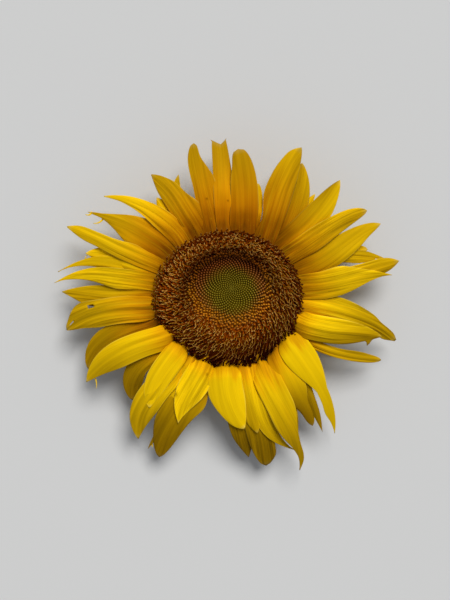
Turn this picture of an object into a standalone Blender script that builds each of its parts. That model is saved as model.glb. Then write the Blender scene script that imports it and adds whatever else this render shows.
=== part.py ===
"""A sunflower head, cut off at the neck and lying face up on the cut.

The flower's axis is +Z, the origin is the middle of the flat cut, and +Y is the edge of the bloom that is
uppermost in the picture. Four bodies hold it: the green receptacle with its bracts, the yellow ray florets,
the ring of open disc florets and the closed buds in the middle.
"""

import math

import bmesh
import bpy
from mathutils import Vector
from mathutils.geometry import delaunay_2d_cdt, tessellate_polygon

MM = 0.001
GOLDEN_ANGLE = math.radians(137.508)
GAP = 0.3 * MM  # between bodies that touch on the real flower

# The back of the head, from the flat cut up to the rim: (radius, height) in millimetres
BACK_PROFILE = [
    (10.0, 0.0),
    (9.6, 4.0),
    (10.2, 8.0),
    (13.5, 11.5),
    (20.0, 14.5),
    (30.0, 18.0),
    (39.0, 22.5),
    (43.5, 25.5),
    (44.5, 28.0),
]
BACK_SIDES = 44
BOSS_RADIUS = 34.0 * MM  # the raised bed of the disc florets, inside the ray florets' roots
BED_HEIGHT = 33.2 * MM

# Bracts, in the golden-angle spiral that they grow in, from the lowest to the uppermost
BRACT_COUNT = 34
BRACT_THICKNESS = 1.0 * MM
BRACT_STATIONS = 4
BRACT_COLUMNS = 2
BRACT_ROOT = ((18.0, 15.5), (36.0, 25.0))  # (radius, height) of the lowest and of the uppermost, in mm
BRACT_TIP = ((44.0, 7.0), (60.0, 18.5))
BRACT_ARCH = (2.5, 4.5)
BRACT_WIDTH = (12.0, 14.0)
BRACT_KEEL = -1.2  # a bract's edges stand this much below its middle, in mm

# Ray florets
ROOT_RADIUS = 39.0 * MM
COLLAR_OUTER = 44.0 * MM
COLLAR_TOP = 32.2 * MM
COLLAR_SIDES = 60
PETAL_THICKNESS = 0.8 * MM
PETAL_STATIONS = 10
PETAL_COLUMNS = 2
BLADE_BLUNT = 0.07  # share of the full width that is left at a blade's tip
CLAW_SHARE = 0.6  # width at the root, as a share of the full width
TAIL_SHARE = 0.3  # a drawn-out tip is no narrower than this share, tapering
DISC_EDGE = 49.0 * MM  # the petals run level up to here, under the disc
ROOT_HEIGHT = (31.2, 30.3, 29.4)  # of a front, a middle and a back petal, in mm
MIDDLE_HEIGHT = (38.0, 34.0, 30.5)
MIDDLE = 0.55  # where along a petal it stands at its middle height

# One row for each ray floret, anticlockwise from the top of the bloom. Angles are degrees, sizes millimetres:
# root angle, tip angle, reach from the axis, bow to the left near the root, bow near the tip, width, widest
# place along it, taper (1 pointed, 0.5 round, 2 drawn out), layer from the front, height of the tip, fold
# (edges above the midrib) and twist
PETALS = [
    (92, 93, 104, 0, -0.5, 13, 0.5, 0.25, 0, 38, 2, 0),
    (104, 102, 104, -0.5, 1, 14, 0.45, 0.6, 1, 36, 2, 0),
    (117, 111, 86, 2, 5.5, 7, 0.5, 0.8, 2, 31, 1, 0),
    (115, 121, 95, -1, -3.5, 18, 0.5, 0.9, 1, 32, 2, 0),
    (127, 124, 78, 0.5, 0, 10, 0.5, 0.8, 2, 29, 1, 0),
    (131, 140, 104, -6, -6, 14, 0.35, 1.7, 0, 31, 2, 0),
    (144, 149, 105, -4, -4.5, 20, 0.4, 1.7, 1, 28, 2, 0),
    (156, 156, 114, -1, -2, 12, 0.4, 0.85, 0, 30, 2, 0),
    (160, 163, 97, -2, -3, 12, 0.5, 0.8, 2, 27, 1, 0),
    (164, 172, 112, -4, -8, 8, 0.45, 1.2, 1, 27, 1, 0),
    (169, 175, 114, -2.5, -6.5, 13, 0.45, 1.4, 0, 27, 2, 0),
    (178, 178, 109, 0, -0.5, 12, 0.5, 0.9, 1, 26, 1, 0),
    (193, 192, 108, -4.5, -6.5, 19, 0.65, 0.5, 0, 27, 2, 0),
    (201, 209, 107, -3.5, -9.5, 17, 0.55, 0.7, 2, 22, 1, 0),
    (216, 212, 112, -4, -6.5, 18, 0.5, 0.9, 0, 26, 2, 0),
    (227, 229, 98, -4, -8.5, 17, 0.6, 0.7, 2, 22, 1, 0),
    (227, 235, 91, -1, -3.5, 17, 0.45, 0.8, 0, 34, 2, 0),
    (231, 239, 117, 0, -7, 19, 0.55, 0.9, 1, 24, 2, 0),
    (240, 242, 89, 0.5, 0, 11, 0.5, 0.8, 1, 28, 1, 0),
    (249, 249, 90, 1, -2.5, 19, 0.4, 0.9, 0, 33, 2, 0),
    (242, 243, 120, 0, -0.5, 8, 0.5, 0.9, 2, 20, 1, 0),
    (251, 248, 124, 1, -2.5, 20, 0.5, 0.75, 2, 20, 2, 0),
    (267, 277, 90, -2, -3.5, 22, 0.5, 0.75, 0, 33, 2, 0),
    (275, 277, 116, -1.5, -0.5, 17, 0.5, 0.9, 2, 20, 1, 0),
    (281, 282, 95, -0.5, -0.5, 14, 0.5, 0.9, 1, 31, 1, 0),
    (285, 282, 124, 0, 1, 19, 0.6, 0.55, 2, 20, 1, 0),
    (290, 293, 118, -1, -8, 13, 0.45, 1.3, 1, 24, 1, 0),
    (298, 291, 133, -1, 5, 19, 0.45, 1.8, 0, 24, 2, 0),
    (306, 296, 109, 2, 0.5, 11, 0.5, 1.0, 2, 22, 1, 0),
    (317, 302, 108, -0.5, 1, 18, 0.45, 0.7, 1, 24, 2, 0),
    (322, 303, 116, 3.5, 2, 9, 0.5, 1.1, 2, 22, 1, 0),
    (330, 307, 120, 2, 4.5, 21, 0.25, 5.5, 0, 27, 2, 0),
    (332, 336, 112, -3, -1.5, 7, 0.7, 0.5, 2, 22, 1, 0),
    (341, 345, 105, -2, 1, 18, 0.45, 0.9, 0, 30, 2, 0),
    (354, 344, 116, 4, 6.5, 15, 0.45, 1.0, 1, 24, 2, 0),
    (9, 8, 107, -1, 3.5, 18, 0.3, 1.4, 0, 29, 2, 0),
    (14, 12, 113, -1.5, -0.5, 9, 0.7, 0.8, 2, 28, 1, 0),
    (29, 14, 105, 5.5, 2, 8, 0.6, 0.8, 2, 28, 1, 0),
    (21, 19, 96, 2.5, 4, 7, 0.5, 0.8, 2, 28, 1, 0),
    (22, 26, 110, -3.5, 2.5, 18, 0.5, 0.8, 1, 31, 2, 0),
    (36, 33, 107, 0, 4, 15, 0.5, 0.6, 0, 34, 2, 0),
    (44, 48, 105, -1, -2, 17, 0.5, 0.8, 1, 35, 2, 0),
    (50, 51, 87, -0.5, -0.5, 9, 0.5, 0.8, 2, 32, 1, 0),
    (50, 63, 101, -3, -3, 17, 0.5, 0.8, 2, 35, 2, 0),
    (57, 65, 109, 0.5, 3.5, 19, 0.55, 0.75, 0, 38, 2, 0),
    (63, 75, 77, 0, -1, 7, 0.5, 0.8, 2, 32, 1, 0),
    (73, 86, 98, -0.5, -2, 17, 0.45, 0.45, 0, 37, 2, 0),
]

# Disc florets
DISC_HALF_WIDTH = 48.0 * MM
DISC_HALF_DEPTH = 45.7 * MM
DISC_FLAT_AT = math.radians(228)  # the disc is a little flattened on this side
DISC_FLAT_SPREAD = math.radians(26)
DISC_FLAT_DEPTH = 0.1
DISC_BASE = BED_HEIGHT + GAP
GROWTH_CENTRE = Vector((2.0, 7.0)) * MM  # the youngest florets sit off the disc's middle
FLORET_COUNT = 620
SPREAD_POWER = 0.54  # above a half, the florets in the middle are the closer ones
BUD_SHARE = 0.56  # of the way out from the growth centre, the buds give way to open florets
EDGE_SHARE = 1.06  # the florets past the disc's edge only bound the outermost cells
# Height of the disc's surface along the way out: (share of the way, millimetres)
DISC_PROFILE = [(0.0, 36.5), (0.3, 36.6), (0.52, 39.0), (0.75, 42.0), (0.92, 40.5), (1.0, 37.5), (1.1, 36.0)]
BUD_RELIEF = 0.9 * MM
FLORET_RELIEF = 2.2 * MM


def clear_scene():
    for obj in list(bpy.data.objects):
        bpy.data.objects.remove(obj, do_unlink=True)


def material(name, color, roughness):
    made = bpy.data.materials.new(name)
    made.use_nodes = True
    shader = made.node_tree.nodes["Principled BSDF"]
    shader.inputs["Base Color"].default_value = (*color, 1.0)
    shader.inputs["Roughness"].default_value = roughness
    shader.inputs["Metallic"].default_value = 0.0
    return made


def object_from(name, mesh, finish=None):
    made = bpy.data.objects.new(name, mesh)
    bpy.context.scene.collection.objects.link(made)
    if finish:
        mesh.materials.append(finish)
    return made


def polar(radius, angle):
    return Vector((radius * math.cos(angle), radius * math.sin(angle)))


def mix(pair, share):
    return pair[0] + (pair[1] - pair[0]) * share


def smooth_through(points, at):
    """The height at one place of a smooth curve through (place, height) points."""
    last = len(points) - 2
    span = max(i for i in range(last + 1) if i == 0 or points[i][0] <= at)
    (x0, y0), (x1, y1) = points[span], points[span + 1]

    def slope(i):
        before, after = points[max(i - 1, 0)], points[min(i + 1, last + 1)]
        return (after[1] - before[1]) / (after[0] - before[0])

    width = x1 - x0
    u = (at - x0) / width
    ease = u * u * (3 - 2 * u)
    bend = width * (slope(span) * u * (1 - u) ** 2 - slope(span + 1) * u * u * (1 - u))
    return y0 + (y1 - y0) * ease + bend


def blade_mesh(name, surface, stations, columns, thickness):
    """A thin closed blade about surface(t, s), with t from root to tip and s from -1 to 1 across it."""
    step = 1e-3
    faces = bmesh.new()
    grids = {1: [], -1: []}
    for i in range(stations + 1):
        rows = {1: [], -1: []}
        for j in range(columns + 1):
            t, s = i / stations, 2 * j / columns - 1
            along = surface(min(t + step, 1), s) - surface(max(t - step, 0), s)
            across = surface(t, s + step) - surface(t, s - step)
            normal = along.cross(across).normalized()
            for side in rows:
                place = surface(t, s) + normal * side * thickness / 2
                rows[side].append(faces.verts.new(place))
        for side in grids:
            grids[side].append(rows[side])
    for i in range(stations):
        for j in range(columns):
            for side, grid in grids.items():
                a, b, c, d = grid[i][j], grid[i + 1][j], grid[i + 1][j + 1], grid[i][j + 1]
                for corners in ((a, b, c), (a, c, d)):
                    faces.faces.new(corners if side > 0 else corners[::-1])
    upper, lower = grids[1], grids[-1]
    rim = [(i, 0) for i in range(stations)] + [(stations, j) for j in range(columns)]
    rim += [(i, columns) for i in range(stations, 0, -1)] + [(0, j) for j in range(columns, 0, -1)]
    for (i, j), (k, m) in zip(rim, rim[1:] + rim[:1]):
        faces.faces.new((upper[i][j], lower[i][j], lower[k][m]))
        faces.faces.new((upper[i][j], lower[k][m], upper[k][m]))
    bmesh.ops.recalc_face_normals(faces, faces=faces.faces)
    mesh = bpy.data.meshes.new(name)
    faces.to_mesh(mesh)
    faces.free()
    return mesh


def turned_mesh(name, profile, sides):
    """A solid of revolution from a profile of (radius, height) that starts and ends on the axis."""
    turned = bmesh.new()
    chain = [turned.verts.new((radius, 0, height)) for radius, height in profile]
    edges = [turned.edges.new(pair) for pair in zip(chain, chain[1:])]
    bmesh.ops.spin(
        turned, geom=chain + edges, cent=(0, 0, 0), axis=(0, 0, 1), angle=2 * math.pi, steps=sides, use_merge=True
    )
    bmesh.ops.remove_doubles(turned, verts=turned.verts, dist=1e-6)
    bmesh.ops.recalc_face_normals(turned, faces=turned.faces)
    mesh = bpy.data.meshes.new(name)
    turned.to_mesh(mesh)
    turned.free()
    return mesh


def keep_main_shell(mesh):
    """Drops loose scraps, and the walls of any hollow that fusing sealed, which fills it."""
    shells = bmesh.new()
    shells.from_mesh(mesh)
    unseen = set(shells.verts)
    groups = []
    while unseen:
        group = [unseen.pop()]
        for vertex in group:
            near = {edge.other_vert(vertex) for edge in vertex.link_edges} & unseen
            unseen -= near
            group.extend(near)
        groups.append(group)
    groups.sort(key=len)
    for group in groups[:-1]:
        bmesh.ops.delete(shells, geom=group, context="VERTS")
    shells.to_mesh(mesh)
    shells.free()


def fuse(body, pieces, solver):
    """Joins the pieces to the body with one Boolean union on a collection, then removes them."""
    group = bpy.data.collections.new(body.name + "_pieces")
    bpy.context.scene.collection.children.link(group)
    for piece in pieces:
        bpy.context.scene.collection.objects.unlink(piece)
        group.objects.link(piece)
    union = body.modifiers.new("union", "BOOLEAN")
    union.operation = "UNION"
    union.operand_type = "COLLECTION"
    union.collection = group
    union.solver = solver
    with bpy.context.temp_override(object=body, active_object=body, selected_objects=[body]):
        bpy.ops.object.modifier_apply(modifier=union.name)
    for piece in pieces:
        bpy.data.objects.remove(piece, do_unlink=True)
    bpy.data.collections.remove(group)
    keep_main_shell(body.data)


def bract_surface(index):
    level = index / (BRACT_COUNT - 1)
    azimuth = index * GOLDEN_ANGLE
    root = [mix(pair, level) for pair in zip(*BRACT_ROOT)]
    tip = [mix(pair, level) for pair in zip(*BRACT_TIP)]
    arch = mix(BRACT_ARCH, level)
    width = mix(BRACT_WIDTH, level)
    outward = Vector((*polar(1, azimuth), 0))
    sideways = Vector((*polar(1, azimuth + math.pi / 2), 0))

    def surface(t, s):
        radius = mix((root[0], tip[0]), t)
        height = mix((root[1], tip[1]), t) + 4 * arch * t * (1 - t)
        half = width / 2 * max((1 - t) ** 0.8 * (0.75 + 1.1 * t), BLADE_BLUNT)
        height += BRACT_KEEL * abs(s) * (1 - t)
        return (outward * radius + sideways * s * half + Vector((0, 0, height))) * MM

    return surface


def receptacle():
    profile = [(0.0, 0.0)] + [(radius * MM, height * MM) for radius, height in BACK_PROFILE]
    rim_height = profile[-1][1]
    profile += [(BOSS_RADIUS, rim_height), (BOSS_RADIUS, BED_HEIGHT), (0.0, BED_HEIGHT)]
    finish = material("green_bracts", (0.16, 0.24, 0.05), 0.7)
    body = object_from("receptacle_with_bracts", turned_mesh("receptacle", profile, BACK_SIDES), finish)
    bracts = []
    for index in range(BRACT_COUNT):
        mesh = blade_mesh("bract", bract_surface(index), BRACT_STATIONS, BRACT_COLUMNS, BRACT_THICKNESS)
        bracts.append(object_from(f"bract_{index}", mesh))
    fuse(body, bracts, "EXACT")


def petal_width_share(t, widest, taper):
    """A broad claw, the widest place, and a tip that tapers, rounds or is drawn out, as a share of the width."""
    if t < widest:
        return CLAW_SHARE + (1 - CLAW_SHARE) * (1 - (1 - t / widest) ** 2)
    past = (t - widest) / (1 - widest)
    return max((1 - past**2) ** taper, TAIL_SHARE * (1 - past**4), BLADE_BLUNT)


def petal_surface(row):
    root_angle, tip_angle, reach, root_bow, tip_bow, width, widest, taper, layer, tip_height, fold, twist = row
    root = polar(ROOT_RADIUS, math.radians(root_angle))
    chord = polar(reach * MM, math.radians(tip_angle)) - root
    side = Vector((-chord.y, chord.x)).normalized()
    under_disc = (DISC_EDGE - ROOT_RADIUS) / chord.length
    level = ROOT_HEIGHT[layer]
    heights = [(0, level), (under_disc, level + 0.2), (MIDDLE, MIDDLE_HEIGHT[layer]), (1, tip_height)]

    def midrib(t):
        bow = 6.75 * t * (1 - t) * (root_bow * (1 - t) + tip_bow * t)
        return root + chord * t + side * bow * MM

    def surface(t, s):
        heading = midrib(min(t + 0.01, 1)) - midrib(max(t - 0.01, 0))
        across = Vector((-heading.y, heading.x)).normalized()
        opened = min(max((t - under_disc) / 0.25, 0), 1)
        share = petal_width_share(t, widest, taper)
        reach_out = s * share * width / 2
        turn = math.radians(twist) * opened
        rise = fold * abs(s) * opened * share + reach_out * math.sin(turn)
        place = midrib(t) + across * reach_out * math.cos(turn) * MM
        return Vector((*place, (smooth_through(heights, t) + rise) * MM))

    return surface


def ray_florets():
    rim_height = BACK_PROFILE[-1][1] * MM + GAP
    inner = BOSS_RADIUS + GAP
    ring = [(inner, rim_height), (COLLAR_OUTER, rim_height), (COLLAR_OUTER, COLLAR_TOP), (inner, COLLAR_TOP)]
    finish = material("yellow_petals", (0.84, 0.53, 0.005), 0.55)
    body = object_from("ray_florets", turned_mesh("collar", ring + ring[:1], COLLAR_SIDES), finish)
    petals = []
    for index, row in enumerate(PETALS):
        mesh = blade_mesh("petal", petal_surface(row), PETAL_STATIONS, PETAL_COLUMNS, PETAL_THICKNESS)
        petals.append(object_from(f"petal_{index}", mesh))
    fuse(body, petals, "EXACT")


def floret_share(index):
    """How far out from the growth centre to the disc's edge a floret sits."""
    return ((index + 0.5) / FLORET_COUNT) ** SPREAD_POWER


def floret_place(share, angle):
    """Where a floret stands, share of the way out from the growth centre to the disc's edge."""
    edge = Vector((DISC_HALF_WIDTH * math.cos(angle), DISC_HALF_DEPTH * math.sin(angle)))
    from_flat = (angle - DISC_FLAT_AT + math.pi) % (2 * math.pi) - math.pi
    edge *= 1 - DISC_FLAT_DEPTH * math.exp(-((from_flat / DISC_FLAT_SPREAD) ** 2))
    return GROWTH_CENTRE * (1 - share * share) + edge * share


def disc_body(name, finish, mine, all_points, triangles, shares, relief):
    """One closed body of florets: each is a cell with a raised middle, over a flat base.

    The cell's corners are the middles of the triangles between neighbouring florets.
    """
    corners = [sum((all_points[k] for k in triangle), Vector((0, 0))) / 3 for triangle in triangles]
    corner_shares = [sum(shares[k] for k in triangle) / 3 for triangle in triangles]
    beside = {}
    for number, triangle in enumerate(triangles):
        for a, b in zip(triangle, triangle[1:] + triangle[:1]):
            beside[(a, b)] = number
    body = bmesh.new()
    tops = {}
    for k in mine:
        height = smooth_through(DISC_PROFILE, shares[k]) * MM + relief / 2
        tops[k] = body.verts.new((*all_points[k], height))
    inner_limit = min(shares[k] for k in mine)
    valleys = {}

    def valley(number):
        if number not in valleys:
            place = corners[number].copy()
            owners = sum(k in mine for k in triangles[number])
            if owners < 3:
                away = (place - GROWTH_CENTRE).normalized() * GAP / 2
                place += away if corner_shares[number] < inner_limit + 0.05 and inner_limit > 0.1 else -away
            height = smooth_through(DISC_PROFILE, corner_shares[number]) * MM - relief / 2
            valleys[number] = body.verts.new((*place, height))
        return valleys[number]

    outline = {}
    rings = []
    for (a, b), left in beside.items():
        right = beside.get((b, a))
        if a not in mine or right is None:
            continue
        first, second = valley(right), valley(left)
        body.faces.new((tops[a], first, second))
        if b not in mine:
            outline[first] = second
    while outline:
        start, following = outline.popitem()
        loop = [start]
        while following is not start:
            loop.append(following)
            following = outline.pop(following)
        low = [body.verts.new((corner.co.x, corner.co.y, DISC_BASE)) for corner in loop]
        pairs = zip(loop, loop[1:] + loop[:1], low, low[1:] + low[:1])
        for a, b, under_a, under_b in pairs:
            body.faces.new((b, a, under_a))
            body.faces.new((b, under_a, under_b))
        rings.append(low)
    flat = [corner for ring in rings for corner in ring]
    for triangle in tessellate_polygon([[corner.co for corner in ring] for ring in rings]):
        body.faces.new([flat[k] for k in triangle])
    bmesh.ops.recalc_face_normals(body, faces=body.faces)
    mesh = bpy.data.meshes.new(name)
    body.to_mesh(mesh)
    body.free()
    object_from(name, mesh, finish)


def disc():
    count = int(FLORET_COUNT * EDGE_SHARE ** (1 / SPREAD_POWER)) + 1
    shares = [floret_share(index) for index in range(count)]
    points = [floret_place(share, index * GOLDEN_ANGLE) for index, share in enumerate(shares)]
    triangles = [tuple(face) for face in delaunay_2d_cdt(points, [], [], 0, 1e-9)[2]]
    buds = {k for k, share in enumerate(shares) if share < BUD_SHARE}
    open_florets = {k for k, share in enumerate(shares) if BUD_SHARE <= share <= 1}
    brown = material("brown_florets", (0.06, 0.02, 0.006), 0.8)
    green = material("green_brown_buds", (0.10, 0.09, 0.02), 0.75)
    disc_body("disc_florets", brown, open_florets, points, triangles, shares, FLORET_RELIEF)
    disc_body("disc_buds", green, buds, points, triangles, shares, BUD_RELIEF)


def main():
    clear_scene()
    receptacle()
    ray_florets()
    disc()


main()
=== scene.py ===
"""Looks of the sunflower head: its petals, florets, bracts and hairs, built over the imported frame."""

import math
import random
from collections import namedtuple

import bpy
import numpy as np
from mathutils import Matrix, Vector


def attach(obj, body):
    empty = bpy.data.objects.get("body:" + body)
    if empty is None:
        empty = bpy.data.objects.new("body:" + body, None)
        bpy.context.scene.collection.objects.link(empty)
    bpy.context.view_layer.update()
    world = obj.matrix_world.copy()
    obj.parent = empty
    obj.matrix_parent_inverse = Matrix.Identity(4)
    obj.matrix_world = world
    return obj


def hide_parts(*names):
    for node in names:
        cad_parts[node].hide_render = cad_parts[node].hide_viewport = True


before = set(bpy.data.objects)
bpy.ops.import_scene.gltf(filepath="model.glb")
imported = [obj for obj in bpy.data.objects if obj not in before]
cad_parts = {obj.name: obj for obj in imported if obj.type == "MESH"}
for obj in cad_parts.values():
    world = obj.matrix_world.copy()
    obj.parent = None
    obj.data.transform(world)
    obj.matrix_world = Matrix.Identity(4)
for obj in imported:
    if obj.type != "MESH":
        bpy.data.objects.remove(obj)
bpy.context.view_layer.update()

MM = 0.001
GOLDEN_ANGLE = math.radians(137.508)

# Camera: the picture looks down on the face from 15 degrees towards the bloom's upper edge
VIEW_TILT = math.radians(15)
VIEW_DISTANCE = 0.92
VIEW_AIM = Vector((-0.00195, 0.0, 0.038))
VIEW_LENS = 85
VIEW_SENSOR = 36
# Light: a soft sun above the bloom's upper edge, a dim room and a pale floor
KEY_AZIMUTH = math.radians(74)
KEY_ELEVATION = math.radians(50)
KEY_WIDTH = math.radians(24)
KEY_STRENGTH = 2.6
ROOM_COLOUR = (0.9, 0.94, 1.0, 1)
ROOM_STRENGTH = 0.26
FLOOR_COLOUR = (0.70, 0.695, 0.68)

# The back of the head, as in the part's source: (radius, height) in millimetres
BACK_PROFILE = [
    (10.0, 0.0),
    (9.6, 4.0),
    (10.2, 8.0),
    (13.5, 11.5),
    (20.0, 14.5),
    (30.0, 18.0),
    (39.0, 22.5),
    (43.5, 25.5),
    (44.5, 28.0),
]
BRACT_COUNT = 34
BRACT_ROOT = ((18.0, 15.5), (36.0, 25.0))
BRACT_TIP = ((44.0, 7.0), (60.0, 18.5))
BRACT_ARCH = (2.5, 4.5)
BRACT_WIDTH = (12.0, 14.0)
BRACT_KEEL = -1.2
BOSS_RADIUS = 34.0
BED_HEIGHT = 33.2
BACK_SIDES = 96
BRACT_THICKNESS = 0.8 * MM
HAIR_LENGTH = 1.2 * MM
HAIR_COLOUR = (0.50, 0.56, 0.33)
HAIRS_PER_BRACT = 70
BACK_HAIRS = 1600

# Ray florets: the part's own, each set a little nearer to the picture, and with sharper tips
ROOT_RADIUS = 39.0 * MM
DISC_EDGE = 49.0 * MM  # where the petals high on the bloom come out from under the disc
CLAW_SHARE = (0.7, 0.9)  # width at the root, of the front petals high on the bloom and of the others
TAIL_SHARE = 0.3  # a drawn-out tip is no narrower than this share, tapering
TIP_SHARE = 0.012  # width that is left at a tip
ROOT_HEIGHT = (31.2, 30.3, 29.4)  # of a front, a middle and a back petal, in mm
MIDDLE_HEIGHT = (38.0, 36.0, 34.0)
MIDDLE_HEIGHTS = {"T2": 36.9, "R1b": 32.6}  # of the petals that aren't as high as their layer
MIDDLE = 0.55  # where along a petal it stands at its middle height
EDGE_RISE = 0.6  # how far a petal high on the bloom rises from its root to the disc's edge, in mm
EDGE_DROP = 2.4  # how much lower than its middle a petal low on the bloom begins, in mm
# Pairs for the petals high and low on the bloom
SHOULDER = (0.75, 0.9)  # share of the rise to the middle height that is made close to the disc
SHOULDER_AT = (0.2, 0.05)  # how far that is past the disc's edge, as a share of the petal's length
OPENED_AT = (0.25, 0.12)  # how far past the disc's edge the petal's relief has its full height
PETAL_STATIONS = 56
PETAL_COLUMNS = 32
PETAL_THICKNESS = 0.4 * MM
THREAD_THICKNESS = 0.35 * MM

# Petals low on the bloom have rounded near ends: how far from the axis they begin, by layer or by name, and
# their other sizes, in millimetres
NEAR_END = (45.2, 48.5, 50.0)
NEAR_ENDS = {
    "L1": 44.5,
    "BL2a": 44.3,
    "BL2c": 46.0,
    "BL1": 45.9,
    "B3": 45.9,
    "B3b": 47.5,
    "B1": 50.5,
    "BR2": 48.0,
    "BR1": 47.6,
    "R7b": 47.5,
}
ROUNDING = 6.5
NECK = 0.3  # share of the width that is left inside the rounding
NEAR_DROP = 3.5  # how much lower a near end's edges are than its middle

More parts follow.
